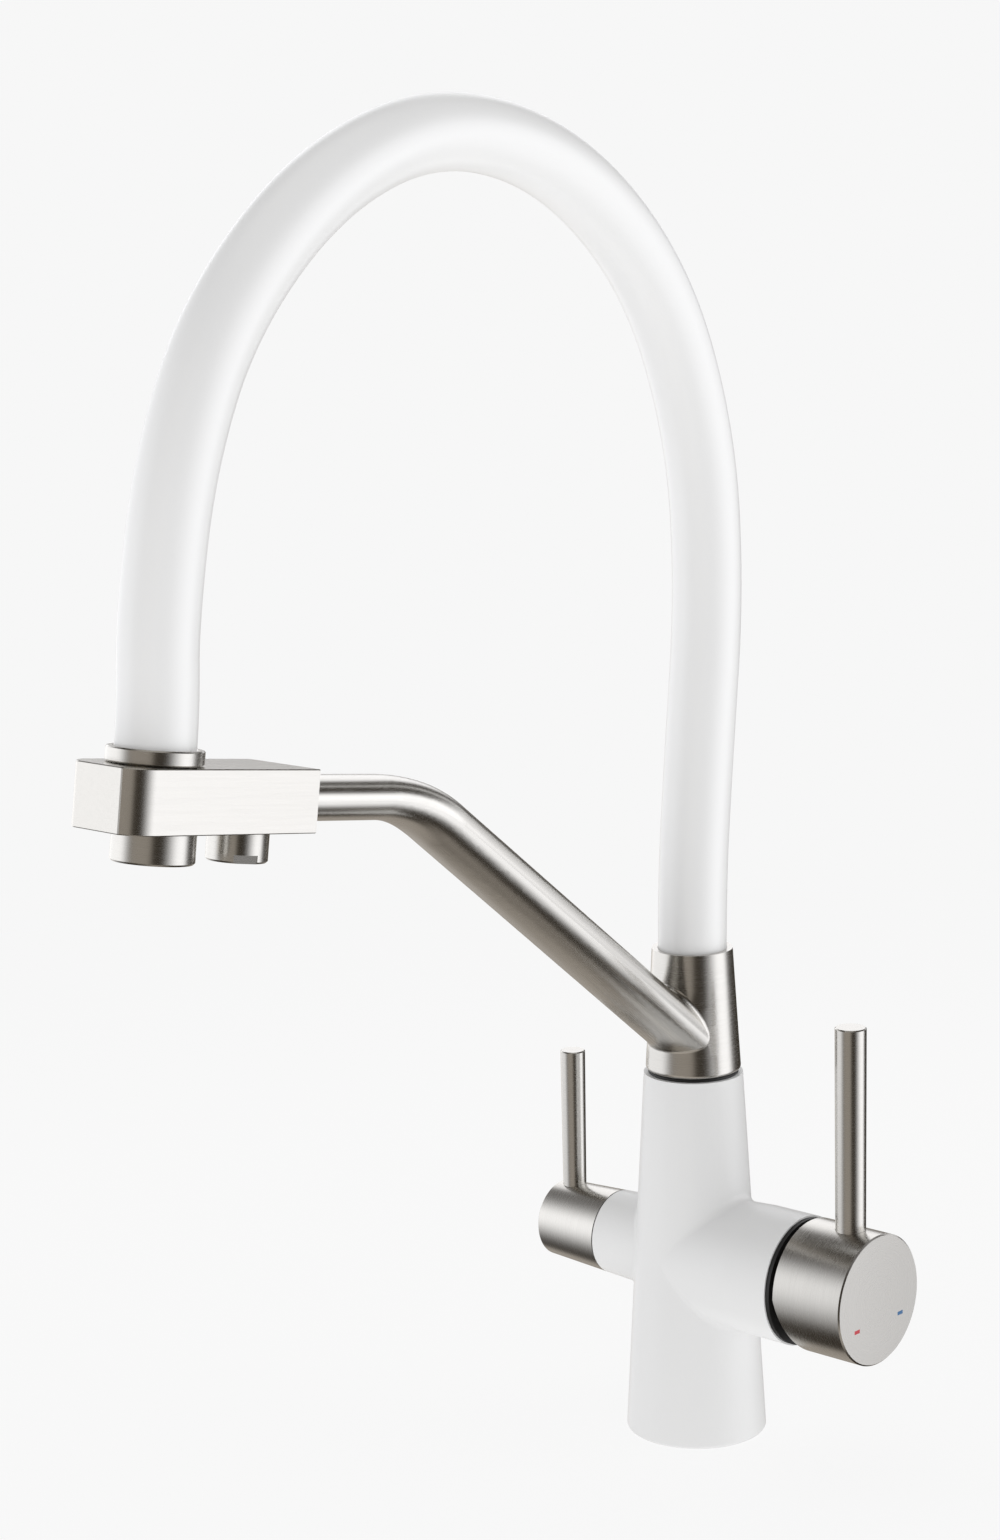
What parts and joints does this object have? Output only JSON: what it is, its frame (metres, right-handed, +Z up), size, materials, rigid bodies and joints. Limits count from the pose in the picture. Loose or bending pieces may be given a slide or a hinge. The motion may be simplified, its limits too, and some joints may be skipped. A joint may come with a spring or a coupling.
{
  "type": "kitchen mixer tap",
  "caption": "White kitchen mixer tap with an arched hose spout on a slim metal arm, a mixer lever, and a second lever and nozzle for filtered water.",
  "frame": {"origin": "middle of the round base, on the worktop", "axes": "+Z up; the spout reaches towards -Y; the mixer handle is on +X and the filtered-water handle on -X"},
  "size_m": [0.1433, 0.2922, 0.4678],
  "materials": {
    "white_paint": "satin white paint on brass",
    "brushed_nickel": "brushed warm nickel",
    "white_sheath": "smooth satin white sheath",
    "brass": "machined",
    "disc_ceramic": "lapped",
    "black_rubber": "matte",
    "grey_plastic": "moulded",
    "black_plastic": "moulded",
    "screw_steel": "turned",
    "inner_tube": "extruded",
    "red_mark": "filled",
    "blue_mark": "filled"
  },
  "bodies": {
    "body": {"mixer_body": "white_paint", "base_seal": "black_rubber", "cartridge_base": "grey_plastic", "cartridge_seals": "black_rubber", "fixed_disc": "disc_ceramic", "cartridge_housing": "grey_plastic", "cartridge_nut": "brass", "dust_ring": "black_plastic", "filter_gasket": "black_rubber", "filter_headwork": "brass", "filter_fixed_disc": "disc_ceramic", "swivel_post": "brass", "post_seals": "black_rubber", "slip_ring": "black_plastic"},
    "spout": {"swivel_arm": "brushed_nickel", "keeper_screw": "screw_steel", "outlet_block": "brushed_nickel", "nozzle_housing": "brushed_nickel", "nozzle_insert": "grey_plastic", "nozzle_washer": "black_rubber", "filter_nozzle": "brushed_nickel", "filter_nozzle_insert": "grey_plastic", "filter_nozzle_washer": "black_rubber", "hose_sheath": "white_sheath", "inner_hose": "inner_tube", "collar_nipple": "brass", "block_nipple": "brass", "hose_ferrules": "screw_steel", "hose_ring": "brushed_nickel"},
    "mixer_carrier": {"cartridge_carrier": "grey_plastic", "stem_pin": "screw_steel"},
    "mixer_handle": {"cartridge_stem": "brass", "mixer_cap": "brushed_nickel", "mixer_lever": "brushed_nickel", "mixer_grub_screw": "screw_steel", "hot_mark": "red_mark", "cold_mark": "blue_mark"},
    "mixer_disc": {"moving_disc": "disc_ceramic", "disc_holder": "grey_plastic"},
    "filter_handle": {"filter_moving_disc": "disc_ceramic", "filter_spindle": "brass", "spindle_seal": "black_rubber", "filter_cap": "brushed_nickel", "filter_lever": "brushed_nickel", "filter_grub_screw": "screw_steel"}
  },
  "joints": [
    {"name": "spout_swivel", "type": "hinge", "parent": "body", "child": "spout", "pos_m": [0, 0, 0.1323], "axis": [0, 0, 1], "continuous": true},
    {"name": "mixer_temperature", "type": "hinge", "parent": "body", "child": "mixer_carrier", "pos_m": [0.0325, 0, 0.06465], "axis": [1, 0, 0], "range_deg": [-45, 45]},
    {"name": "mixer_flow", "type": "hinge", "parent": "mixer_carrier", "child": "mixer_handle", "pos_m": [0.03925, 0, 0.06465], "axis": [0, 1, 0], "range_deg": [0, 24]},
    {"name": "disc_slide", "type": "slide", "parent": "mixer_carrier", "child": "mixer_disc", "axis": [0, 0, 1], "range_m": [0, 0.0034]},
    {"name": "filter_valve", "type": "hinge", "parent": "body", "child": "filter_handle", "pos_m": [-0.03, 0, 0.06465], "axis": [1, 0, 0], "range_deg": [0, 90]}
  ],
  "couplings": [
    {"joint": "disc_slide", "follows": "mixer_flow", "m_per_rad": 0.008}
  ]
}
